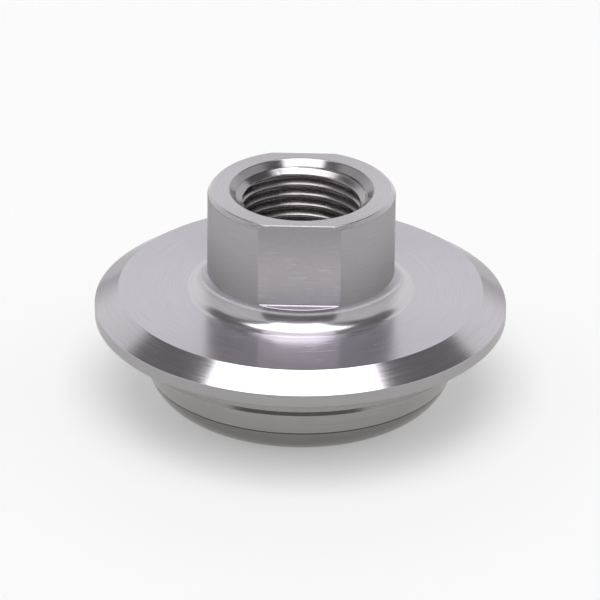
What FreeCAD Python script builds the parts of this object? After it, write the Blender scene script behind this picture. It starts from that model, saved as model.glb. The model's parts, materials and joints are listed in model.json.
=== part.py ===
import FreeCAD, Part
import math
import os
import Sketcher

# Threaded adapter with a round clamp flange, turned from one bar of stainless steel.
# Millimetres, +Z up along the turning axis, origin at the centre of the bottom face.
# The hub stands on top with its female pipe thread, the tapered plug points down.

SIZES = (
    # Thread and bore, from the mouth down
    ("mouth_chamfer", 1.0),
    ("lead_in_width", 1.1845),
    ("lead_in_depth", 0.7),
    ("thread_core_diameter", 18.631),
    ("thread_length", 14.5),
    ("runout_depth", 1.5),
    ("runout_width", 3.0),
    ("seat_width", 1.2),
    ("seat_angle", 45.0),
    ("probe_bore_diameter", 16.0),
    ("outlet_chamfer", 0.5),
    # Hub, built round the mouth
    ("flat_wall", 2.0),
    ("flat_depth", 1.5),
    ("hub_length", 17.4),
    ("hub_chamfer", 0.7),
    ("hub_root_radius", 3.2),
    ("ledge_gap", 0.2),
    # Clamp flange
    ("flange_diameter", 66.0),
    ("rim_height", 2.4),
    ("taper_width", 3.8),
    ("taper_drop", 2.6),
    ("rim_chamfer", 0.5),
    # Spigot and plug under the flange
    ("seal_width", 6.15),
    ("spigot_length", 3.7),
    ("spigot_corner_radius", 0.4),
    ("relief_width", 0.7),
    ("relief_depth", 0.6),
    ("cone_length", 4.5),
    ("cone_width", 2.45),
    ("nose_length", 4.7),
    ("nose_width", 5.0),
    ("nose_radius", 7.0),
)

DERIVED = (
    # Diameters, each stepped from the one before it
    ("lead_in_diameter", "thread_core_diameter + 2 * lead_in_width"),
    ("mouth_diameter", "lead_in_diameter + 2 * mouth_chamfer"),
    ("across_flats", "mouth_diameter + 2 * flat_wall"),
    ("hub_diameter", "across_flats + 2 * flat_depth"),
    ("runout_diameter", "thread_core_diameter + 2 * runout_depth"),
    ("seat_diameter", "probe_bore_diameter + 2 * seat_width"),
    ("taper_top_diameter", "flange_diameter - 2 * taper_width"),
    ("spigot_diameter", "flange_diameter - 2 * seal_width"),
    ("relief_diameter", "spigot_diameter - 2 * relief_depth"),
    ("cone_end_diameter", "spigot_diameter - 2 * cone_width"),
    ("nose_face_diameter", "cone_end_diameter - 2 * nose_width"),
    # Heights of the shoulders outside, stacked from the bottom face up
    ("relief_bottom_level", "nose_length + cone_length"),
    ("relief_top_level", "relief_bottom_level + relief_width"),
    ("underside_level", "relief_top_level + spigot_length"),
    ("rim_top_level", "underside_level + rim_height"),
    ("disc_face_level", "rim_top_level + taper_drop"),
    ("ledge_level", "disc_face_level + hub_root_radius + ledge_gap"),
    ("overall_height", "disc_face_level + hub_length"),
    # Heights in the bore, stacked from the top face down
    ("mouth_chamfer_level", "overall_height - mouth_chamfer"),
    ("lead_in_level", "mouth_chamfer_level - lead_in_depth"),
    ("thread_end_level", "lead_in_level - thread_length"),
    ("seat_level", "thread_end_level - runout_width"),
    ("seat_foot_level", "seat_level - seat_width / tan(seat_angle * 1 deg)"),
)


class Size:
    """A length with the formula that ties it to the sheet."""

    def __init__(self, value, formula):
        self.value = value
        self.formula = formula

    def __add__(self, other):
        return Size(self.value + other.value, f"{self.formula} + {other.formula}")

    def __sub__(self, other):
        return Size(self.value - other.value, f"{self.formula} - ({other.formula})")

    def half(self):
        return Size(self.value / 2, f"({self.formula}) / 2")


def make_sheet(doc):
    """Write every size into the sheet, one aliased cell each, the derived ones as formulas."""
    sheet = doc.addObject("Spreadsheet::Sheet", "Sizes")
    cells = [(alias, str(value)) for alias, value in SIZES]
    cells += [(alias, f"={formula}") for alias, formula in DERIVED]
    for row, (alias, content) in enumerate(cells, start=1):
        sheet.set(f"A{row}", alias)
        sheet.setAlias(f"B{row}", alias)
        sheet.set(f"B{row}", content)
    doc.recompute()
    return sheet


def origin_plane(body, role):
    """Give the body's own origin plane or axis of that role."""
    return next(item for item in body.Origin.OriginFeatures if item.Role == role)


def new_sketch(body, name, role):
    """Start a sketch on one of the body's own origin planes."""
    sketch = body.newObject("Sketcher::SketchObject", name)
    sketch.AttachmentSupport = [(origin_plane(body, role), "")]
    sketch.MapMode = "FlatFace"
    return sketch


def bind(sketch, kind, elements, size, name):
    """Add a dimension and tie it to the sheet."""
    index = sketch.addConstraint(Sketcher.Constraint(kind, *elements, size.value))
    sketch.renameConstraint(index, name)
    sketch.setExpression(f"Constraints.{name}", size.formula)


def arc_between(start, end, radius):
    """Give the short arc from start to end that bulges to the right of that way."""
    middle = (start + end) * 0.5
    along = end - start
    rise = math.sqrt(radius**2 - (along.Length / 2) ** 2)
    left = FreeCAD.Vector(-along.y, along.x, 0).normalize()
    centre = middle + left * rise
    first = math.atan2(start.y - centre.y, start.x - centre.x)
    last = math.atan2(end.y - centre.y, end.x - centre.x)
    circle = Part.Circle(centre, FreeCAD.Vector(0, 0, 1), radius)
    return Part.ArcOfCircle(circle, first, last)


def draw_section(sketch, corners, arcs=()):
    """Draw a closed section through named corners, each at a radius and a height.

    A corner whose radius is None lies on the turning axis, and one whose height
    is None lies on the bottom plane. Corners run anticlockwise. An arc names the
    corner that it starts from and its radius.
    """
    origin = (-1, 1)
    bottom_plane = -1
    turning_axis = -2
    radii = dict(arcs)
    places = []
    for _, radius, height in corners:
        across = radius.value if radius else 0.0
        up = height.value if height else 0.0
        places.append(FreeCAD.Vector(across, up, 0))
    count = len(corners)
    for index, (name, _, _) in enumerate(corners):
        start = places[index]
        end = places[(index + 1) % count]
        if name in radii:
            sketch.addGeometry(arc_between(start, end, radii[name].value))
        else:
            sketch.addGeometry(Part.LineSegment(start, end))
    for index in range(count):
        following = (index + 1) % count
        sketch.addConstraint(Sketcher.Constraint("Coincident", index, 2, following, 1))
    for index, (name, radius, height) in enumerate(corners):
        if radius:
            bind(sketch, "DistanceX", (*origin, index, 1), radius, f"{name}_radius")
        else:
            sketch.addConstraint(Sketcher.Constraint("PointOnObject", index, 1, turning_axis))
        if height:
            bind(sketch, "DistanceY", (*origin, index, 1), height, f"{name}_height")
        else:
            sketch.addConstraint(Sketcher.Constraint("PointOnObject", index, 1, bottom_plane))
        if name in radii:
            bind(sketch, "Radius", (index,), radii[name], f"{name}_arc")


def turn(body, kind, name, sketch):
    """Turn a section all the way round the axis, to add or to cut metal."""
    feature = body.newObject(kind, name)
    feature.Profile = sketch
    feature.ReferenceAxis = (sketch, ["V_Axis"])
    feature.Angle = 360
    sketch.Visibility = False
    return feature


def circle_edge(shape, radius, height):
    """Name the round edge of that radius at that height on the turning axis."""
    near = 1e-4
    for number, edge in enumerate(shape.Edges, start=1):
        curve = edge.Curve
        if not isinstance(curve, Part.Circle):
            continue
        on_axis = math.hypot(curve.Center.x, curve.Center.y) < near
        if on_axis and abs(curve.Radius - radius) < near and abs(curve.Center.z - height) < near:
            return f"Edge{number}"
    raise RuntimeError(f"no round edge of radius {radius} at height {height}")


def dress_edge(body, kind, name, radius, height, amount_property, amount):
    """Round or bevel one turned edge."""
    base = body.Tip
    edge = circle_edge(base.Shape, radius.value, height.value)
    feature = body.newObject(kind, name)
    feature.Base = (base, [edge])
    setattr(feature, amount_property, amount.value)
    feature.setExpression(amount_property, amount.formula)
    body.Tip = feature
    body.Document.recompute()
    return feature


def check_cut(body, before, name):
    """Make sure that a cut took metal away."""
    if not body.Shape.Volume < before - 1e-3:
        raise RuntimeError(f"{name} cuts nothing")


def add_turned_blank(body, size):
    """Turn the outside: plug, spigot, clamp flange and hub."""
    spigot = size("spigot_diameter").half()
    flange = size("flange_diameter").half()
    hub = size("hub_diameter").half()
    underside = size("underside_level")
    disc_face = size("disc_face_level")
    top = size("overall_height")
    corners = (
        ("axis_foot", None, None),
        ("nose_face", size("nose_face_diameter").half(), None),
        ("cone_end", size("cone_end_diameter").half(), size("nose_length")),
        ("cone_top", spigot, size("relief_bottom_level")),
        ("spigot_top", spigot, underside),
        ("rim_bottom", flange, underside),
        ("rim_top", flange, size("rim_top_level")),
        ("taper_top", size("taper_top_diameter").half(), disc_face),
        ("hub_root", hub, disc_face),
        ("hub_top", hub, top),
        ("axis_head", None, top),
    )
    sketch = new_sketch(body, "OutsideSection", "XZ_Plane")
    draw_section(sketch, corners, arcs=(("nose_face", size("nose_radius")),))
    turn(body, "PartDesign::Revolution", "TurnedBlank", sketch)
    body.Document.recompute()


def add_edge_work(body, size):
    """Break the turned edges and blend the hub into the disc."""
    hub = size("hub_diameter").half()
    flange = size("flange_diameter").half()
    spigot = size("spigot_diameter").half()
    underside = size("underside_level")
    disc_face = size("disc_face_level")
    top = size("overall_height")
    root_radius = size("hub_root_radius")
    corner_radius = size("spigot_corner_radius")
    fillet = "PartDesign::Fillet"
    chamfer = "PartDesign::Chamfer"
    dress_edge(body, fillet, "HubRoot", hub, disc_face, "Radius", root_radius)
    dress_edge(body, fillet, "SpigotCorner", spigot, underside, "Radius", corner_radius)
    dress_edge(body, chamfer, "HubChamfer", hub, top, "Size", size("hub_chamfer"))
    dress_edge(body, chamfer, "RimChamfer", flange, underside, "Size", size("rim_chamfer"))


def add_relief_groove(body, size):
    """Cut the narrow relief between the spigot and the plug's cone."""
    before = body.Shape.Volume
    floor = size("relief_diameter").half()
    overrun = size("spigot_diameter").half() + size("relief_depth")
    low = size("relief_bottom_level")
    high = size("relief_top_level")
    corners = (
        ("inner_low", floor, low),
        ("outer_low", overrun, low),
        ("outer_high", overrun, high),
        ("inner_high", floor, high),
    )
    sketch = new_sketch(body, "ReliefSection", "XZ_Plane")
    draw_section(sketch, corners)
    turn(body, "PartDesign::Groove", "ReliefGroove", sketch)
    body.Document.recompute()
    check_cut(body, before, "the relief groove")


def add_bore(body, size):
    """Bore the mouth, thread core, runout, seat and probe bore right through."""
    before = body.Shape.Volume
    core = size("thread_core_diameter").half()
    runout = size("runout_diameter").half()
    probe = size("probe_bore_diameter").half()
    outlet = size("outlet_chamfer")
    top = size("overall_height")
    thread_end = size("thread_end_level")
    seat = size("seat_level")
    corners = (
        ("axis_foot", None, None),
        ("outlet_edge", probe + outlet, None),
        ("outlet", probe, outlet),
        ("seat_foot", probe, size("seat_foot_level")),
        ("seat_rim", size("seat_diameter").half(), seat),
        ("runout_low", runout, seat),
        ("runout_high", runout, thread_end),
        ("core_low", core, thread_end),
        ("core_high", core, size("lead_in_level")),
        ("lead_in", size("lead_in_diameter").half(), size("mouth_chamfer_level")),
        ("mouth", size("mouth_diameter").half(), top),
        ("axis_head", None, top),
    )
    sketch = new_sketch(body, "BoreSection", "XZ_Plane")
    draw_section(sketch, corners)
    turn(body, "PartDesign::Groove", "Bore", sketch)
    body.Document.recompute()
    check_cut(body, before, "the bore")


def add_wrench_flats(body, size):
    """Mill the front flat down from the hub's top and copy it to the rear."""
    before = body.Shape.Volume
    top = size("overall_height")
    depth = top - size("ledge_level")
    face = size("across_flats").half()
    hub = size("hub_diameter").half()
    outside = hub + size("hub_chamfer")
    sketch = new_sketch(body, "FlatOutline", "XY_Plane")
    sketch.AttachmentOffset = FreeCAD.Placement(
        FreeCAD.Vector(0, 0, top.value), FreeCAD.Rotation()
    )
    sketch.setExpression(".AttachmentOffset.Base.z", top.formula)
    places = (
        (-hub.value, -outside.value),
        (hub.value, -outside.value),
        (hub.value, -face.value),
        (-hub.value, -face.value),
    )
    corners = [FreeCAD.Vector(across, along, 0) for across, along in places]
    for index, start in enumerate(corners):
        end = corners[(index + 1) % len(corners)]
        sketch.addGeometry(Part.LineSegment(start, end))
    for index in range(len(corners)):
        following = (index + 1) % len(corners)
        sketch.addConstraint(Sketcher.Constraint("Coincident", index, 2, following, 1))
    for index, kind in enumerate(("Horizontal", "Vertical", "Horizontal", "Vertical")):
        sketch.addConstraint(Sketcher.Constraint(kind, index))
    bind(sketch, "DistanceX", (0, 1, -1, 1), hub, "left_reach")
    bind(sketch, "DistanceX", (-1, 1, 0, 2), hub, "right_reach")
    bind(sketch, "DistanceY", (0, 1, -1, 1), outside, "outer_reach")
    bind(sketch, "DistanceY", (2, 1, -1, 1), face, "flat_place")
    pocket = body.newObject("PartDesign::Pocket", "FrontFlat")
    pocket.Profile = sketch
    pocket.Length = depth.value
    pocket.setExpression("Length", depth.formula)
    sketch.Visibility = False
    body.Document.recompute()
    check_cut(body, before, "the front flat")

    before = body.Shape.Volume
    pattern = body.newObject("PartDesign::PolarPattern", "BothFlats")
    pattern.Originals = [pocket]
    pattern.Axis = (sketch, ["N_Axis"])
    pattern.Angle = 360
    pattern.Occurrences = 2
    body.Tip = pattern
    body.Document.recompute()
    check_cut(body, before, "the rear flat")


def make_adapter(doc, sheet):
    """Build the adapter the way it is machined: turn, bore, groove, then mill."""

    def size(name):
        return Size(float(sheet.get(name)), f"Sizes.{name}")

    body = doc.addObject("PartDesign::Body", "AdapterBody")
    body.Label = "adapter_body"
    add_turned_blank(body, size)
    add_edge_work(body, size)
    add_relief_groove(body, size)
    add_bore(body, size)
    add_wrench_flats(body, size)
    body.Placement = FreeCAD.Placement()
    return body


def check_document(doc):
    """Stop if any object failed to recompute."""
    for item in doc.Objects:
        if "Invalid" in item.State or "Error" in item.State:
            raise RuntimeError(f"{item.Label} failed: {item.State}")


def check_solid(body):
    """Stop if the body isn't one valid solid."""
    shape = body.Shape
    if shape.isNull() or not shape.isValid() or len(shape.Solids) != 1:
        raise RuntimeError(f"{body.Label} isn't one valid solid")


def main():
    doc = FreeCAD.newDocument("ThreadedAdapter")
    sheet = make_sheet(doc)
    adapter = make_adapter(doc, sheet)
    doc.recompute()
    check_document(doc)
    check_solid(adapter)
    os.makedirs("parts", exist_ok=True)
    adapter.Shape.exportStep(f"parts/{adapter.Label}.step")
    box = adapter.Shape.BoundBox
    print(f"{adapter.Label}: volume {adapter.Shape.Volume:.1f} mm3")
    print(f"box {box.XLength:.3f} x {box.YLength:.3f} x {box.ZLength:.3f} mm")


main()
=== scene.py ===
import json
import math

import bpy
import numpy as np
from mathutils import Matrix, Vector


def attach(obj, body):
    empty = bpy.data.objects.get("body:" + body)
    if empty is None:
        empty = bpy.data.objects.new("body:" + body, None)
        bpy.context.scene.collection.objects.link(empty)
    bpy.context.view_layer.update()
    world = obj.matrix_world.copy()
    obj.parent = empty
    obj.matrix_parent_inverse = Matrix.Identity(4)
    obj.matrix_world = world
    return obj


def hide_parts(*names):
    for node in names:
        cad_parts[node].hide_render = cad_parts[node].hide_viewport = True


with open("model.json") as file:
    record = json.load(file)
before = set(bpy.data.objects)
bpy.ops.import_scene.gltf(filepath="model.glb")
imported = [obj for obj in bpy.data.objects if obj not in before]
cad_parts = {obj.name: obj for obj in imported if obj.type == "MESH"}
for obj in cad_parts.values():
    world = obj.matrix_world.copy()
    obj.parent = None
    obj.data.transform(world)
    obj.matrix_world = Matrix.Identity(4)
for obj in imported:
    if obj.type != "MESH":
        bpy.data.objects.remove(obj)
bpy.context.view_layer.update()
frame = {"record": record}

# Threaded clamp adapter in fine turned stainless steel, standing on its plug.
# Lengths of the section are in millimetres and become metres in the mesh.

MM = 0.001
MOUNTS = {mount["name"]: mount for mount in frame["record"]["mounts"]}


def mount_radius(name):
    return MOUNTS[name]["dims"]["r_mm"]


def mount_height(name):
    return MOUNTS[name]["pos_m"][2] / MM


# Radii of the section, from the mounts and from a few widths.

FLANGE_RADIUS = mount_radius("clamp_rim")
RIM_CHAMFER = 0.5
TAPER_WIDTH = 3.8
DISC_EDGE = FLANGE_RADIUS - TAPER_WIDTH
HUB_RADIUS = 15.0
HUB_CHAMFER = 0.7
ROOT_FILLET = 3.2
FLAT_PLACE = -MOUNTS["front_wrench_flat"]["pos_m"][1] / MM
SPIGOT_RADIUS = mount_radius("spigot")
SPIGOT_CORNER = 0.4
RELIEF_DEPTH = 0.28
CONE_WIDTH = 2.45
CONE_FOOT = SPIGOT_RADIUS - CONE_WIDTH
NOSE_WIDTH = 5.0
NOSE_BULGE = 7.0
NOSE_FOOT = CONE_FOOT - NOSE_WIDTH
LINE_DEPTH = 0.18
THREAD_CORE = mount_radius("pipe_thread")
LEAD_IN_RADIUS = 10.5
MOUTH_CHAMFER = 1.0
MOUTH_RADIUS = LEAD_IN_RADIUS + MOUTH_CHAMFER
RUNOUT_RADIUS = THREAD_CORE + 1.5
PROBE_RADIUS = mount_radius("probe_bore")
SEAT_WIDTH = 1.2
OUTLET_CHAMFER = 0.5

# Levels of the section above the bottom face.

CONE_LEVEL = 4.7
RELIEF_LEVEL = 9.2
SPIGOT_LEVEL = 9.9
LINE_WIDTH = 0.25
RELIEF_LIP = 0.1
UNDERSIDE_LEVEL = mount_height("seal_face")
RIM_LEVEL = 16.0
DISC_LEVEL = 18.6
LEDGE_LEVEL = 22.0
TOP_LEVEL = mount_height("hub_top_face")
LEAD_IN_LEVEL = TOP_LEVEL - MOUTH_CHAMFER
THREAD_TOP = mount_height("pipe_thread")
THREAD_BOTTOM = THREAD_TOP - MOUNTS["pipe_thread"]["dims"]["length_mm"]
RUNOUT_WIDTH = 3.0
SEAT_LEVEL = THREAD_BOTTOM - RUNOUT_WIDTH

# Small edges that a deburring tool leaves.

EDGE_BREAK = 0.08
RELIEF_BREAK = 0.05
MOUTH_BREAK = 0.25
MOUTH_STEP = 0.08
LEAD_IN_TOP = LEAD_IN_LEVEL - MOUTH_STEP
FLAT_BREAK = 0.15
LEDGE_FILLET = 0.2

# Offsets that keep neighbouring rings of the hub apart.

LEDGE_LIFT = 0.02
TOP_INSET = 0.04

# Pipe thread with rounded crests and roots. Its flanks stand at 55 degrees to each other, so
# they rise 1.921 for each 1 along the axis. The phase is the level of a crest at the front.

THREAD_PITCH = 1.8143
THREAD_MAJOR = 10.4775
THREAD_CREST = 0.28
THREAD_ROOT = 0.249
THREAD_SLOPE = 1.921
THREAD_PHASE = 0.45

# Columns round the axis, with a column on each edge of a flat.

COLUMNS = 360
QUARTER = COLUMNS // 4
FLAT_COLUMNS = 26

# Rings round the nose, then round the flats' foot, up their face and over their top edge.

NOSE_RINGS = 14
FOOT_RINGS = 4
FACE_RINGS = 8
EDGE_RINGS = 3

# Steps up and round the bore from which the slope of the thread is taken.

SLOPE_STEP = 0.02
SLOPE_TURN = 0.002


def unit(vector):
    return vector / np.linalg.norm(vector)


def outward(direction):
    """Normal of a way along the section with the metal on its left."""
    return np.array((direction[1], -direction[0]))


def line_points(start, end, rings):
    """Points and normals along a straight run."""
    start = np.array(start)
    end = np.array(end)
    normal = outward(unit(end - start))
    return [(start + (end - start) * t, normal) for t in np.linspace(0, 1, rings + 1)]


def corner_points(before, corner, after, radius, rings):
    """Points and normals round a corner between two straight runs."""
    before, corner, after = (np.array(p, dtype=float) for p in (before, corner, after))
    way_in = unit(corner - before)
    way_out = unit(after - corner)
    cross = way_in[0] * way_out[1] - way_in[1] * way_out[0]
    turn = math.atan2(cross, float(way_in @ way_out))
    side = 1.0 if turn > 0 else -1.0
    reach = radius * math.tan(abs(turn) / 2)
    centre = corner - way_in * reach - outward(way_in) * radius * side
    points = []
    for t in np.linspace(0, 1, rings + 1):
        angle = math.atan2(way_in[1], way_in[0]) + turn * t
        normal = outward((math.cos(angle), math.sin(angle)))
        points.append((centre + normal * radius * side, normal))
    return points


def bulge_points(start, end, radius, rings):
    """Points and normals along an arc that bulges out of the metal."""
    start = np.array(start)
    end = np.array(end)
    along = unit(end - start)
    half = np.linalg.norm(end - start) / 2
    centre = (start + end) / 2 - outward(along) * math.sqrt(radius**2 - half**2)
    first = math.atan2(*(start - centre)[::-1])
    last = math.atan2(*(end - centre)[::-1])
    normals = [np.array((math.cos(a), math.sin(a))) for a in np.linspace(first, last, rings + 1)]
    return [(centre + normal * radius, normal) for normal in normals]


def path_runs(corners):
    """Runs of a path of corners: (r, z, corner radius, corner rings, finish, run rings)."""
    runs = []
    joined = corners[0][:2]
    for index in range(len(corners) - 1):
        here = corners[index]
        there = corners[index + 1]
        end = there[:2]
        arc = None
        if there[2] and index + 2 < len(corners):
            arc = corner_points(here[:2], there[:2], corners[index + 2][:2], there[2], there[3])
            end = arc[0][0]
        runs.append((here[4], line_points(joined, end, here[5])))
        joined = end
        if arc:
            runs.append((there[4], arc))
            joined = arc[-1][0]
    return runs


UNDER_PATH = (
    (PROBE_RADIUS + OUTLET_CHAMFER, 0.0, 0, 0, "plug", 1),
    (NOSE_FOOT, 0.0, 0, 0, "", 0),
)
BELOW_PATH = (
    (CONE_FOOT, CONE_LEVEL, 0, 0, "line", 1),
    (CONE_FOOT - LINE_DEPTH, CONE_LEVEL + LINE_WIDTH / 2, 0, 0, "line", 1),
    (CONE_FOOT + LINE_WIDTH / 2, CONE_LEVEL + LINE_WIDTH, 0, 0, "plug", 2),
    (SPIGOT_RADIUS, RELIEF_LEVEL, RELIEF_BREAK, 2, "plug", 2),
    (SPIGOT_RADIUS - RELIEF_DEPTH, SPIGOT_LEVEL - RELIEF_LIP, 0, 0, "line", 1),
    (SPIGOT_RADIUS - RELIEF_DEPTH, SPIGOT_LEVEL, 0, 0, "line", 1),
    (SPIGOT_RADIUS, SPIGOT_LEVEL, RELIEF_BREAK, 2, "spigot", 2),
    (SPIGOT_RADIUS, UNDERSIDE_LEVEL, SPIGOT_CORNER, 4, "spigot", 2),
    (FLANGE_RADIUS - RIM_CHAMFER, UNDERSIDE_LEVEL, 0, 0, "rim", 1),
    (FLANGE_RADIUS, UNDERSIDE_LEVEL + RIM_CHAMFER, EDGE_BREAK, 2, "rim", 2),
    (FLANGE_RADIUS, RIM_LEVEL, EDGE_BREAK, 3, "taper", 3),
    (DISC_EDGE, DISC_LEVEL, EDGE_BREAK, 2, "disc", 8),
    (HUB_RADIUS, DISC_LEVEL, ROOT_FILLET, 24, "root", 1),
    (HUB_RADIUS, LEDGE_LEVEL - FLAT_BREAK, 0, 0, "", 0),
)
MOUTH_PATH = (
    (HUB_RADIUS - HUB_CHAMFER, TOP_LEVEL, 0, 0, "top", 2),
    (MOUTH_RADIUS, TOP_LEVEL, MOUTH_BREAK, 5, "mouth", 2),
    (LEAD_IN_RADIUS, LEAD_IN_LEVEL, 0, 0, "mouth", 1),
    (LEAD_IN_RADIUS, LEAD_IN_TOP, 0, 0, "", 0),
)
BORE_PATH = (
    (RUNOUT_RADIUS, THREAD_BOTTOM, 0, 0, "plug", 1),
    (RUNOUT_RADIUS, SEAT_LEVEL, 0, 0, "plug", 1),
    (PROBE_RADIUS + SEAT_WIDTH, SEAT_LEVEL, 0, 0, "plug", 1),
    (PROBE_RADIUS, SEAT_LEVEL - SEAT_WIDTH, 0, 0, "plug", 4),
    (PROBE_RADIUS, OUTLET_CHAMFER, 0, 0, "plug", 1),
    (PROBE_RADIUS + OUTLET_CHAMFER, 0.0, 0, 0, "", 0),
)


def lead_in_radius(height):
    """Radius of the cone that leads into the thread."""
    share = (height - THREAD_TOP) / (LEAD_IN_TOP - THREAD_TOP)
    return THREAD_CORE + share * (LEAD_IN_RADIUS - THREAD_CORE)


def groove_radius(height, azimuth):
    """Radius that the thread's crests, flanks and roots have."""
    phase = ((height - THREAD_PHASE) / THREAD_PITCH - azimuth / (2 * math.pi)) % 1.0
    off = np.minimum(phase, 1.0 - phase) * THREAD_PITCH
    half = THREAD_PITCH / 2
    bend = THREAD_CREST * math.cos(math.atan(1 / THREAD_SLOPE))
    sag = THREAD_CREST - math.sqrt(THREAD_CREST**2 - bend**2)
    crest = THREAD_CORE + THREAD_CREST - np.sqrt(np.maximum(THREAD_CREST**2 - off**2, 0))
    flank = THREAD_CORE + sag + (off - bend) * THREAD_SLOPE
    from_root = np.minimum(half - off, THREAD_ROOT)
    root = THREAD_MAJOR - THREAD_ROOT + np.sqrt(THREAD_ROOT**2 - from_root**2)
    return np.where(off < bend, crest, np.minimum(flank, root))


def thread_radius(height, azimuth):
    """Radius of the bore from the lead-in down, where the grooves cut into the cone."""
    return np.maximum(groove_radius(height, azimuth), lead_in_radius(height))


def bore_place(height, azimuth):
    """Point of the threaded bore at a height and an azimuth."""
    radius = float(thread_radius(height, azimuth))
    return (radius * math.sin(azimuth), -radius * math.cos(azimuth), height)


def bore_normal(place):
    """Normal of the threaded bore, from its slope up and round the axis."""
    x, y, z = place
    azimuth = math.atan2(x, -y)
    reach = math.hypot(x, y)
    rise = thread_radius(z + SLOPE_STEP, azimuth) - thread_radius(z - SLOPE_STEP, azimuth)
    swing = thread_radius(z, azimuth + SLOPE_TURN) - thread_radius(z, azimuth - SLOPE_TURN)
    out = Vector((x / reach, y / reach, 0))
    around = Vector((-y / reach, x / reach, 0)) * float(swing / (2 * SLOPE_TURN * reach))
    up = Vector((0, 0, float(rise / (2 * SLOPE_STEP))))
    return (up + around - out).normalized()


def bore_finish(place):
    """Finish at a point of the bore: the lead-in's, or the thread's where a groove cuts in."""
    x, y, z = place
    on_cone = lead_in_radius(z) > groove_radius(z, math.atan2(x, -y))
    return "mouth" if on_cone else "thread"


def thread_offsets():
    """Places of the rows inside one pitch, closer round the crest and root."""
    half = THREAD_PITCH / 2
    crest = [share * THREAD_CREST for share in (-0.8, -0.55, -0.28, 0.0, 0.28, 0.55, 0.8)]
    root = [half + share * THREAD_ROOT for share in (-0.7, -0.2, 0.2, 0.7)]
    flank = [half + share * THREAD_ROOT for share in (-1.5, -1.1, 1.1, 1.5)]
    return sorted(crest + root + flank)


def thread_levels():
    """Levels at which the rows of the thread start, from above it to below it."""
    first_turn = math.ceil(LEAD_IN_TOP / THREAD_PITCH)
    last_turn = math.floor(THREAD_BOTTOM / THREAD_PITCH) - 1
    return [
        turn * THREAD_PITCH + offset + THREAD_PHASE
        for turn in range(first_turn, last_turn - 1, -1)
        for offset in reversed(thread_offsets())
    ]


def full_turn(across, ahead):
    """Places of all columns, from the front round by +X, out of one quarter of them."""
    right = np.concatenate((across, across[-2::-1]))
    depth = np.concatenate((-ahead, ahead[-2::-1]))
    return np.concatenate((right, -right[-2:0:-1])), np.concatenate((depth, depth[-2:0:-1]))


def from_flat(column):
    """Columns between this one and the middle of the nearer flat."""
    return (column + QUARTER) % (COLUMNS // 2) - QUARTER


def on_flat(column):
    """Whether the face from this column to the next lies on a flat."""
    return -FLAT_COLUMNS <= from_flat(column) < FLAT_COLUMNS


def faces_front(column):
    """Whether a column is on the side of the front flat."""
    return column < QUARTER or column >= 3 * QUARTER


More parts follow.
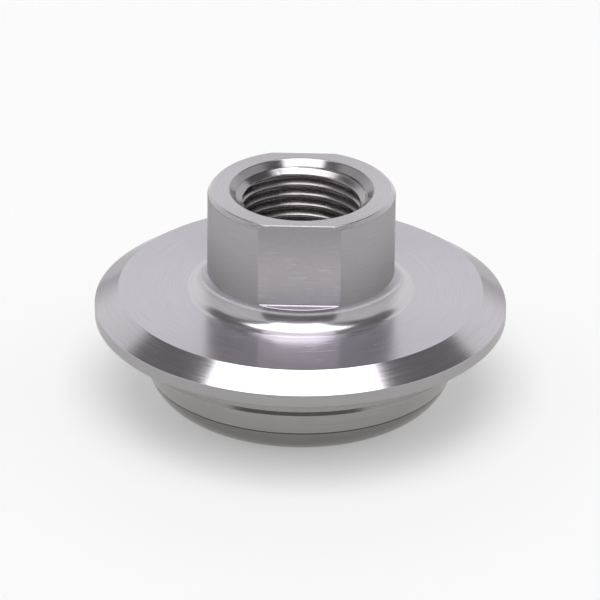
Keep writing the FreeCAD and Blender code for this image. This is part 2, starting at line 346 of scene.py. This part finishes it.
class Builder:
    """Collects the vertices, faces and normals of the turned mesh."""

    def __init__(self):
        self.places = []
        self.faces = []
        self.normals = []
        self.finishes = []

    def point(self, place):
        """Add one vertex and give its number."""
        self.places.append(place)
        return len(self.places) - 1

    def ring(self, radius, height, flat=None, flat_height=None, flat_arc=None):
        """Add a ring of vertices, round or with two flats, and give their numbers."""
        # A round ring has its columns in line with those of the hub.
        place = flat or FLAT_PLACE * radius / HUB_RADIUS
        reach = math.sqrt(radius**2 - place**2)
        edge = math.acos(place / radius)
        gap = min(FLAT_BREAK, reach / 2)
        across = np.zeros(QUARTER + 1)
        across[:FLAT_COLUMNS] = np.linspace(0, reach - gap, FLAT_COLUMNS)
        turned = np.linspace(edge + gap / radius, math.pi / 2, QUARTER - FLAT_COLUMNS)
        across[FLAT_COLUMNS] = reach
        across[FLAT_COLUMNS + 1:] = radius * np.sin(turned)
        ahead = np.sqrt(np.maximum(radius**2 - across**2, 0))
        heights = np.full(COLUMNS, float(height))
        if flat_arc:
            ahead[:FLAT_COLUMNS] = np.sqrt(flat_arc**2 - across[:FLAT_COLUMNS] ** 2)
        elif flat:
            ahead[:FLAT_COLUMNS] = flat
        if flat_height is not None:
            lies_on = [abs(from_flat(column)) < FLAT_COLUMNS for column in range(COLUMNS)]
            heights[lies_on] = flat_height
        first = len(self.places)
        self.places += list(zip(*full_turn(across, ahead), heights))
        return list(range(first, first + COLUMNS))

    def turned_normal(self, vertex, normal):
        """Normal of the section, turned round the axis to a vertex."""
        x, y, _ = self.places[vertex]
        reach = math.hypot(x, y)
        return Vector((normal[0] * x / reach, normal[0] * y / reach, normal[1]))

    def face(self, corners, finish):
        """Add a face of (vertex, normal) corners, without any repeated vertex."""
        kept = [c for i, c in enumerate(corners) if c[0] != corners[i - 1][0]]
        if len(kept) > 2:
            self.faces.append([vertex for vertex, _ in kept])
            self.normals += [tuple(normal) for _, normal in kept]
            self.finishes.append(finish)

    def strip(self, lower, upper, low_normal, high_normal, finish):
        """Join two round rings."""
        for column in range(COLUMNS):
            following = (column + 1) % COLUMNS
            ring = (lower[column], lower[following], upper[following], upper[column])
            normals = (low_normal, low_normal, high_normal, high_normal)
            corners = [(v, self.turned_normal(v, n)) for v, n in zip(ring, normals)]
            self.face(corners, finish)

    def milled_strip(self, lower, upper, round_normals, flat_normals, finishes):
        """Join two rings with flats, softening the edge between a flat and the round."""
        for column in range(COLUMNS):
            following = (column + 1) % COLUMNS
            flatted = on_flat(column)
            side = -1.0 if faces_front(column) else 1.0
            corners = []
            for ring, place, level in (
                (lower, column, 0),
                (lower, following, 0),
                (upper, following, 1),
                (upper, column, 1),
            ):
                turned = self.turned_normal(ring[place], round_normals[level])
                out, up = flat_normals[level]
                milled = Vector((0.0, side * out, up))
                normal = milled if flatted else turned
                if abs(from_flat(place)) == FLAT_COLUMNS:
                    normal = (turned + milled).normalized()
                corners.append((ring[place], normal))
            self.face(corners, finishes[1] if flatted else finishes[0])

    def mesh(self, name, materials):
        """Mesh of all faces, in metres, with a material slot for each finish."""
        used = sorted({vertex for face in self.faces for vertex in face})
        number = {old: new for new, old in enumerate(used)}
        places = [tuple(value * MM for value in self.places[old]) for old in used]
        faces = [[number[vertex] for vertex in face] for face in self.faces]
        mesh = bpy.data.meshes.new(name)
        mesh.from_pydata(places, [], faces)
        slots = list(materials)
        for finish in slots:
            mesh.materials.append(materials[finish])
        mesh.polygons.foreach_set("use_smooth", [True] * len(faces))
        mesh.polygons.foreach_set("material_index", [slots.index(f) for f in self.finishes])
        mesh.update()
        mesh.normals_split_custom_set(self.normals)
        return mesh


def lay_runs(builder, runs, ring):
    """Lay runs one after the other from a first ring and give the last one."""
    for finish, points in runs:
        for (_, before), ((radius, height), normal) in zip(points, points[1:]):
            following = builder.ring(radius, height)
            builder.strip(ring, following, before, normal, finish)
            ring = following
    return ring


def hub_stations():
    """Rings of the hub: round radius, level, normal, then the flats' shape, normal, finish."""
    out = (1.0, 0.0)
    up = (0.0, 1.0)
    slant = tuple(unit(np.array((1.0, 1.0))))
    shoulder = TOP_LEVEL - HUB_CHAMFER
    ledge = dict(flat=FLAT_PLACE, flat_arc=HUB_RADIUS - FLAT_BREAK)
    stations = [(HUB_RADIUS, LEDGE_LEVEL, out, ledge, up, "disc")]
    for angle in np.linspace(0, math.pi / 2, FOOT_RINGS):
        place = FLAT_PLACE + LEDGE_FILLET * (1 - math.sin(angle))
        rise = LEDGE_FILLET * (1 - math.cos(angle))
        normal = (math.sin(angle), math.cos(angle))
        level = LEDGE_LEVEL + rise + LEDGE_LIFT
        flats = dict(flat=place, flat_height=LEDGE_LEVEL + rise)
        stations.append((HUB_RADIUS, level, out, flats, normal, "disc"))
    for level in np.linspace(LEDGE_LEVEL + 2 * LEDGE_FILLET, shoulder - EDGE_BREAK, FACE_RINGS):
        stations.append((HUB_RADIUS, level, out, dict(flat=FLAT_PLACE), out, "flat"))
    turned = HUB_RADIUS - EDGE_BREAK
    stations.append((turned, shoulder + EDGE_BREAK, slant, dict(flat=FLAT_PLACE), out, "flat"))
    rim = HUB_RADIUS - HUB_CHAMFER
    low = TOP_LEVEL - FLAT_BREAK
    stations.append((rim + FLAT_BREAK, low, slant, dict(flat=FLAT_PLACE), out, "flat"))
    for angle in np.linspace(math.pi / 6, math.pi / 2, EDGE_RINGS):
        inset = FLAT_BREAK * (1 - math.cos(angle))
        level = low + FLAT_BREAK * math.sin(angle)
        normal = (math.cos(angle), math.sin(angle))
        share = inset / FLAT_BREAK
        radius = rim + FLAT_BREAK * (1 - share) - TOP_INSET * share
        round_normal = tuple(unit(np.array(slant) * (1 - share) + np.array(up) * share))
        flats = dict(flat=FLAT_PLACE - inset, flat_height=level)
        stations.append((radius, level, round_normal, flats, normal, "top"))
    return stations


def lay_hub(builder, ring):
    """Lay the ledges, the hub with its two flats and its chamfer."""
    round_before = (1.0, 0.0)
    flat_before = (1.0, 0.0)
    for radius, level, round_normal, flats, flat_normal, finish in hub_stations():
        following = builder.ring(radius, level, **flats)
        # The chamfer lies between two rings whose normals lean up.
        slanted = round_before[1] > 0.5 and round_normal[1] > 0.5
        finishes = ("chamfer" if slanted else "hub", finish)
        normals = (round_before, round_normal)
        flat_normals = (flat_before, flat_normal)
        builder.milled_strip(ring, following, normals, flat_normals, finishes)
        ring = following
        round_before = round_normal
        flat_before = flat_normal
    return ring


def lay_thread(builder, top_ring):
    """Lay the helical rows of the thread and give its last ring."""
    bottom_ring = builder.ring(THREAD_CORE, THREAD_BOTTOM)
    spots = [builder.places[vertex] for vertex in top_ring]
    azimuths = [math.atan2(x, -y) % (2 * math.pi) for x, y, _ in spots]
    for vertex, azimuth in zip(bottom_ring, azimuths):
        builder.places[vertex] = bore_place(THREAD_BOTTOM, azimuth)

    def row(level):
        """Vertices of a row that climbs one pitch in a turn, held between the two rings."""
        numbers = []
        for column, azimuth in enumerate(azimuths):
            height = level + azimuth / (2 * math.pi) * THREAD_PITCH
            if height >= LEAD_IN_TOP:
                numbers.append(top_ring[column])
            elif height <= THREAD_BOTTOM:
                numbers.append(bottom_ring[column])
            else:
                numbers.append(builder.point(bore_place(height, azimuth)))
        return numbers

    rows = [row(level) for level in thread_levels()]
    normals = {vertex: bore_normal(builder.places[vertex]) for vertex in set().union(*rows)}
    per_pitch = len(thread_offsets())
    for upper in range(len(rows) - 1):
        for column in range(COLUMNS):
            following = (column + 1) % COLUMNS
            # The end of a row meets the start of the row one pitch above.
            step_up = 0 if following else per_pitch
            if upper >= step_up:
                corners = (
                    rows[upper][column],
                    rows[upper - step_up][following],
                    rows[upper + 1 - step_up][following],
                    rows[upper + 1][column],
                )
                middle = np.mean([builder.places[vertex] for vertex in corners], axis=0)
                builder.face([(vertex, normals[vertex]) for vertex in corners], bore_finish(middle))
    return bottom_ring


def build_mesh(materials):
    """Turned mesh of the whole adapter, closed from the outlet round to the outlet."""
    builder = Builder()
    start = builder.ring(PROBE_RADIUS + OUTLET_CHAMFER, 0.0)
    nose = bulge_points((NOSE_FOOT, 0.0), (CONE_FOOT, CONE_LEVEL), NOSE_BULGE, NOSE_RINGS)
    ring = lay_runs(builder, path_runs(UNDER_PATH), start)
    ring = lay_runs(builder, [("nose", nose)], ring)
    ring = lay_runs(builder, path_runs(BELOW_PATH), ring)
    ring = lay_hub(builder, ring)
    ring = lay_runs(builder, path_runs(MOUTH_PATH), ring)
    ring = lay_thread(builder, ring)
    runout = builder.ring(RUNOUT_RADIUS, THREAD_BOTTOM)
    builder.strip(ring, runout, (0.0, -1.0), (0.0, -1.0), "plug")
    ring = lay_runs(builder, path_runs(BORE_PATH[:-1]), runout)
    # The outlet bevel ends on the first ring.
    finish, last_run = path_runs(BORE_PATH[-2:])[0]
    builder.strip(ring, start, last_run[0][1], last_run[0][1], finish)
    return builder.mesh("adapter_turned", materials)


class Nodes:
    """Short way to add and link nodes in one tree."""

    def __init__(self, tree):
        self.tree = tree

    def add(self, kind, **settings):
        node = self.tree.nodes.new(kind)
        for name, value in settings.items():
            setattr(node, name, value)
        return node

    def put(self, socket, value):
        """Link a socket to another one, or set a plain value."""
        if isinstance(value, bpy.types.NodeSocket):
            self.tree.links.new(value, socket)
        else:
            socket.default_value = value

    def math(self, operation, *values):
        node = self.add("ShaderNodeMath", operation=operation)
        for socket, value in zip(node.inputs, values):
            self.put(socket, value)
        return node.outputs[0]

    def ramp(self, value, low, high, to_low=0.0, to_high=1.0):
        """Smooth step from one value to another."""
        node = self.add("ShaderNodeMapRange", interpolation_type="SMOOTHSTEP")
        for socket, number in zip(node.inputs, (value, low, high, to_low, to_high)):
            self.put(socket, number)
        return node.outputs["Result"]

    def blend(self, share, first, second):
        """Plain number that goes from first to second."""
        node = self.add("ShaderNodeMix", data_type="FLOAT")
        self.put(node.inputs[0], share)
        self.put(node.inputs[2], first)
        self.put(node.inputs[3], second)
        return node.outputs[0]

    def mix_colour(self, share, first, second):
        node = self.add("ShaderNodeMix", data_type="RGBA")
        self.put(node.inputs[0], share)
        self.put(node.inputs[6], first)
        self.put(node.inputs[7], second)
        return node.outputs[2]

    def noise(self, vector, scale, detail, roughness):
        node = self.add("ShaderNodeTexNoise")
        self.put(node.inputs["Vector"], vector)
        self.put(node.inputs["Scale"], scale)
        self.put(node.inputs["Detail"], detail)
        self.put(node.inputs["Roughness"], roughness)
        return node.outputs["Fac"]

    def split(self, vector):
        node = self.add("ShaderNodeSeparateXYZ")
        self.put(node.inputs[0], vector)
        return node.outputs

    def join(self, *values):
        node = self.add("ShaderNodeCombineXYZ")
        for socket, value in zip(node.inputs, values):
            self.put(socket, value)
        return node.outputs[0]

    def place(self):
        return self.add("ShaderNodeTexCoord").outputs["Object"]


# Steel finishes. A noise mostly lies in the first range. A tint is a share of the colour, for
# the dark and the light marks.

NOISE_RANGE = (0.3, 0.7)
RADIUS_SHARE = 0.8
GLOSS_TURN = 0.25
BUMP_DEPTH = 0.02 * MM
SMUDGE_SCALE = 140.0
RING_TINTS = (0.95, 1.04)
# The milled flats' tints are painted light: darker high up, paler low down.
HIGH_PAINTED_SHADE_TINTS = (0.72, 0.81)
LOW_PAINTED_LIGHT_TINTS = (1.20, 1.34)
STROKE_SPREAD = 0.05
STROKE_BUMP = 0.06
SCRATCH_RANGE = (0.55, 0.75)
SCRATCH_TINT = 1.45
SCRATCH_POLISH = 0.1


def tint(colour, share):
    return tuple(min(value * share, 1.0) for value in colour) + (1.0,)


def turned_marks(n, around):
    """Texture place in mm that runs quickly along the section and slowly round the axis."""
    x, y, z = n.split(n.place())
    square = n.math("ADD", n.math("MULTIPLY", x, x), n.math("MULTIPLY", y, y))
    reach = n.math("MAXIMUM", n.math("SQRT", square), 0.01 * MM)
    outward_mm = n.math("MULTIPLY", reach, RADIUS_SHARE / MM)
    along = n.math("SUBTRACT", outward_mm, n.math("DIVIDE", z, MM))
    side = n.math("MULTIPLY", n.math("DIVIDE", x, reach), around)
    front = n.math("MULTIPLY", n.math("DIVIDE", y, reach), around)
    return n.join(along, side, front)


def milled_marks(n, along):
    """Texture place in mm that runs quickly up a flat and slowly across it."""
    x, y, z = n.split(n.place())
    return n.join(n.math("MULTIPLY", x, along / MM), n.math("SIGN", y), n.math("DIVIDE", z, MM))


def base_steel(name, anisotropy):
    """Steel whose gloss is stretched by marks that run round the axis."""
    material = bpy.data.materials.new(name)
    material.use_nodes = True
    n = Nodes(material.node_tree)
    shader = material.node_tree.nodes["Principled BSDF"]
    shader.inputs["Metallic"].default_value = 1.0
    shader.inputs["Anisotropic"].default_value = anisotropy
    shader.inputs["Anisotropic Rotation"].default_value = GLOSS_TURN
    tangent = n.add("ShaderNodeTangent", direction_type="RADIAL", axis="Z")
    n.put(shader.inputs["Tangent"], tangent.outputs[0])
    return material, n, shader


def add_bump(n, shader, height, strength):
    bump = n.add("ShaderNodeBump")
    bump.inputs["Strength"].default_value = strength
    bump.inputs["Distance"].default_value = BUMP_DEPTH
    n.put(bump.inputs["Height"], height)
    n.put(shader.inputs["Normal"], bump.outputs[0])


def turned_steel(name, colour, roughness, anisotropy, marks=5.0, bump=0.03, spread=0.03, edge=1.0):
    """Turned finish: fine rings in height, colour and gloss, with broad smudges.

    The last number is the share that is left of clean metal's gloss at a grazing angle.
    """
    material, n, shader = base_steel(name, anisotropy)
    shader.inputs["Specular Tint"].default_value = (edge,) * 3 + (1.0,)
    fine = n.noise(turned_marks(n, around=0.6), marks, detail=3.0, roughness=0.65)
    broad = n.noise(n.place(), SMUDGE_SCALE, detail=3.0, roughness=0.55)
    dark, light = (tint(colour, share) for share in RING_TINTS)
    n.put(shader.inputs["Base Color"], n.mix_colour(n.ramp(fine, *NOISE_RANGE), dark, light))
    rings = n.ramp(fine, *NOISE_RANGE, roughness - spread, roughness + spread)
    smudge = n.ramp(broad, *NOISE_RANGE, -spread / 2, spread / 2)
    n.put(shader.inputs["Roughness"], n.math("ADD", rings, smudge))
    add_bump(n, shader, fine, bump)
    return material


def milled_steel(name, colour, roughness, anisotropy):
    """Milled finish: fine level strokes, painted light that makes it darker high up and paler low
    down, and a few long bright scratches low down.
    """
    material, n, shader = base_steel(name, anisotropy)
    strokes = n.noise(milled_marks(n, along=0.12), 7.0, detail=4.0, roughness=0.7)
    rare = n.noise(milled_marks(n, along=0.10), 4.5, detail=2.0, roughness=0.6)
    height = n.split(n.place())[2]
    # Painted light: paler low down, where the flat reflects the bright fillet and taper, darker
    # high up.
    low = n.ramp(height, LEDGE_LEVEL * MM, TOP_LEVEL * MM, 1.0, 0.0)
    scratches = n.math("MULTIPLY", n.ramp(rare, *SCRATCH_RANGE), low)
    dark, light = (
        n.mix_colour(low, tint(colour, high_share), tint(colour, low_share))
        for high_share, low_share in zip(HIGH_PAINTED_SHADE_TINTS, LOW_PAINTED_LIGHT_TINTS)
    )
    shade = n.mix_colour(n.ramp(strokes, *NOISE_RANGE), dark, light)
    bright = n.mix_colour(scratches, shade, tint(colour, SCRATCH_TINT))
    n.put(shader.inputs["Base Color"], bright)
    rough = n.ramp(strokes, *NOISE_RANGE, roughness - STROKE_SPREAD, roughness + STROKE_SPREAD)
    polished = n.math("MULTIPLY", scratches, SCRATCH_POLISH)
    n.put(shader.inputs["Roughness"], n.math("SUBTRACT", rough, polished))
    add_bump(n, shader, strokes, STROKE_BUMP)
    return material


def make_materials():
    """Material of each finish. All are one steel, cut and polished in different ways; each part's
    colour is set to how bright it looks, so the colours also hold painted light and shade.
    """
    fine = dict(bump=0.02, spread=0.02)
    plain = dict(marks=6.0, spread=0.02)
    return {
        "disc": turned_steel("DiscSteel", (0.605, 0.575, 0.63), 0.24, 0.6),
        # Painted highlight: the root is painted paler than the disc to whiten the highlight in it.
        "root": turned_steel("RootSteel", (0.64, 0.615, 0.65), 0.19, 0.6),
        "taper": turned_steel("TaperSteel", (0.66, 0.63, 0.68), 0.14, 0.4, edge=0.6, **fine),
        # Painted shade: the mouth is painted darker for the shade inside the bore's mouth.
        "mouth": turned_steel("MouthSteel", (0.38, 0.362, 0.38), 0.16, 0.5, **fine),
        "hub": turned_steel("HubSteel", (0.465, 0.445, 0.46), 0.40, 0.8, edge=0.65, **plain),
        "chamfer": turned_steel("ChamferSteel", (0.63, 0.605, 0.63), 0.26, 0.6, **plain),
        "top": turned_steel("TopSteel", (0.58, 0.555, 0.60), 0.25, 0.6),
        "flat": milled_steel("MilledSteel", (0.50, 0.47, 0.50), 0.40, 0.6),
        "thread": turned_steel("ThreadSteel", (0.48, 0.445, 0.455), 0.26, 0.7, 3.0, spread=0.04),
        # Painted shade: rim, spigot, plug and nose painted darker for the shaded floor they
        # reflect.
        "rim": turned_steel("RimSteel", (0.375, 0.366, 0.37), 0.34, 0.5, **plain),
        "spigot": turned_steel("SpigotSteel", (0.31, 0.298, 0.293), 0.26, 0.4, 6.0, **fine),
        "plug": turned_steel("PlugSteel", (0.43, 0.412, 0.403), 0.22, 0.4, 6.0, **fine),
        "nose": turned_steel("NoseSteel", (0.285, 0.272, 0.267), 0.20, 0.4, 6.0, **fine),
        # Painted shade: the groove line is painted darker for the shade in its groove.
        "line": turned_steel("GrooveSteel", (0.28, 0.27, 0.27), 0.40, 0.2),
    }


# Light of the studio, as strengths in which 1 is white.

WALL_SIDE = 0.63
WALL_BACK = 0.90
HORIZON_SHARE = 0.75
CEILING = 0.155
GAP_LOW = 0.16
GAP_HIGH = 0.45
SOFT_BOX = 3.0

# Where one light goes over into the next, in degrees up from the floor or round from the front.

HORIZON_RISE = (0.0, 15.0)
BACK_TURN = (115.0, 150.0)
CEILING_TURN = (95.0, 130.0)
CEILING_SIDE = 50.0
CEILING_BACK = 38.0
CEILING_BLUR = 2.5
GAP_RISE = (30.0, 46.0)
GAP_TURN = (42.0, 46.0)

# Edges of the soft box, as places on a ceiling one unit above the object. The last two values
# are sines of the elevation: the box fades in over the first.

BOX_LEFT = (-0.50, -0.44)
BOX_RIGHT = (0.39, 0.45)
BOX_BACK = (-0.35, -0.25)
BOX_FRONT = (0.78, 0.92)
BOX_RISE = (0.3, 0.4)
LEAST_RISE = 0.05


def make_world():
    """Studio round the object: pale walls, darker ceiling, a soft box overhead."""
    world = bpy.data.worlds.new("Studio")
    bpy.context.scene.world = world
    world.use_nodes = True
    n = Nodes(world.node_tree)
    background = world.node_tree.nodes["Background"]
    background.inputs["Color"].default_value = (1.0, 1.0, 1.0, 1.0)
    x, y, z = n.split(n.add("ShaderNodeTexCoord").outputs["Generated"])
    degrees = 180.0 / math.pi
    front = n.math("MULTIPLY", y, -1.0)
    elevation = n.math("MULTIPLY", n.math("ARCSINE", z), degrees)
    azimuth = n.math("ABSOLUTE", n.math("MULTIPLY", n.math("ARCTAN2", x, front), degrees))

    # Walls: darker at the sides and low down, with a dark ceiling above.
    low_share = n.ramp(elevation, *HORIZON_RISE, HORIZON_SHARE, 1.0)
    whole_wall = n.blend(n.ramp(azimuth, *BACK_TURN), WALL_SIDE, WALL_BACK)
    wall = n.math("MULTIPLY", low_share, whole_wall)
    wall_top = n.ramp(azimuth, *CEILING_TURN, CEILING_SIDE, CEILING_BACK)
    above = n.ramp(n.math("SUBTRACT", elevation, wall_top), -CEILING_BLUR, CEILING_BLUR)
    walls = n.blend(above, wall, CEILING)

    # The unlit front end of the studio.
    gap = n.ramp(elevation, *GAP_RISE, GAP_LOW, GAP_HIGH)
    room = n.blend(n.ramp(azimuth, *GAP_TURN), gap, walls)

    # A soft box overhead, a little nearer to the front.
    rise = n.math("MAXIMUM", z, LEAST_RISE)
    across = n.math("DIVIDE", x, rise)
    forward = n.math("DIVIDE", front, rise)
    sides = n.math("MULTIPLY", n.ramp(across, *BOX_LEFT), n.ramp(across, *BOX_RIGHT, 1.0, 0.0))
    ends = n.math("MULTIPLY", n.ramp(forward, *BOX_BACK), n.ramp(forward, *BOX_FRONT, 1.0, 0.0))
    box = n.math("MULTIPLY", n.math("MULTIPLY", sides, ends), n.ramp(z, *BOX_RISE))
    n.put(background.inputs["Strength"], n.blend(box, room, SOFT_BOX))


# Floor, which glows a little for the camera and in reflections.

FLOOR_REACH = 3.0
FLOOR_LEVEL = -0.01 * MM
FLOOR_WHITE = 0.95
FLOOR_ROUGHNESS = 0.6
FLOOR_GLOSS = 0.2
FLOOR_GLOW = 0.35


def make_floor():
    """Pale floor, a hair below the object, that keeps its shadow and looks near white."""
    corners = [(-1, -1), (1, -1), (1, 1), (-1, 1)]
    mesh = bpy.data.meshes.new("floor")
    places = [(x * FLOOR_REACH, y * FLOOR_REACH, FLOOR_LEVEL) for x, y in corners]
    mesh.from_pydata(places, [], [(0, 1, 2, 3)])
    floor = bpy.data.objects.new("floor", mesh)
    bpy.context.scene.collection.objects.link(floor)
    material = bpy.data.materials.new("PaleFloor")
    material.use_nodes = True
    tree = material.node_tree
    n = Nodes(tree)
    shader = tree.nodes["Principled BSDF"]
    shader.inputs["Base Color"].default_value = (FLOOR_WHITE,) * 3 + (1.0,)
    shader.inputs["Roughness"].default_value = FLOOR_ROUGHNESS
    shader.inputs["Specular IOR Level"].default_value = FLOOR_GLOSS
    glow = n.add("ShaderNodeEmission")
    glow.inputs["Color"].default_value = (1.0, 1.0, 1.0, 1.0)
    glow.inputs["Strength"].default_value = 1.0
    mix = n.add("ShaderNodeMixShader")
    path = n.add("ShaderNodeLightPath").outputs
    seen = n.math("ADD", path["Is Camera Ray"], path["Is Glossy Ray"])
    seen = n.math("MINIMUM", n.math("ADD", seen, path["Is Transmission Ray"]), 1.0)
    n.put(mix.inputs[0], n.math("MULTIPLY", seen, FLOOR_GLOW))
    n.put(mix.inputs[1], shader.outputs[0])
    n.put(mix.inputs[2], glow.outputs[0])
    n.put(tree.nodes["Material Output"].inputs["Surface"], mix.outputs[0])
    mesh.materials.append(material)


# Camera, in metres and degrees, with its lens in millimetres. It looks at the centre of the
# rim's top edge, a little off the picture's middle.

CAMERA_DISTANCE = 1.1144
CAMERA_AZIMUTH = 1.0
CAMERA_ELEVATION = 26.60
CAMERA_ROLL = 0.655
CAMERA_LENS = 416.7
AIM_LEFT = 0.000069
AIM_UP = 0.000234


def make_camera():
    """Camera at the photograph's angle."""
    azimuth = math.radians(CAMERA_AZIMUTH)
    elevation = math.radians(CAMERA_ELEVATION)
    roll = math.radians(CAMERA_ROLL)
    level_reach = math.cos(elevation)
    back = Vector((
        math.sin(azimuth) * level_reach,
        -math.cos(azimuth) * level_reach,
        math.sin(elevation),
    ))
    level = Vector((0, 0, 1)).cross(back).normalized()
    upright = back.cross(level)
    right = level * math.cos(roll) + upright * math.sin(roll)
    up = upright * math.cos(roll) - level * math.sin(roll)
    data = bpy.data.cameras.new("camera")
    data.sensor_width = 36.0
    data.lens = CAMERA_LENS
    data.clip_start = 0.01
    data.clip_end = 50.0
    camera = bpy.data.objects.new("camera", data)
    bpy.context.scene.collection.objects.link(camera)
    aim = Vector((0, 0, RIM_LEVEL * MM))
    place = aim + back * CAMERA_DISTANCE - right * AIM_LEFT + up * AIM_UP
    turn = Matrix((right, up, back)).transposed().to_4x4()
    camera.matrix_world = Matrix.Translation(place) @ turn
    bpy.context.scene.camera = camera


def make_adapter():
    """Whole adapter as one turned piece, in the place of its solid."""
    mesh = build_mesh(make_materials())
    adapter = bpy.data.objects.new("adapter_steel", mesh)
    bpy.context.scene.collection.objects.link(adapter)
    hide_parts("adapter_body")
    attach(adapter, "root")


make_adapter()
make_world()
make_floor()
make_camera()
bpy.context.scene.view_settings.view_transform = "Standard"
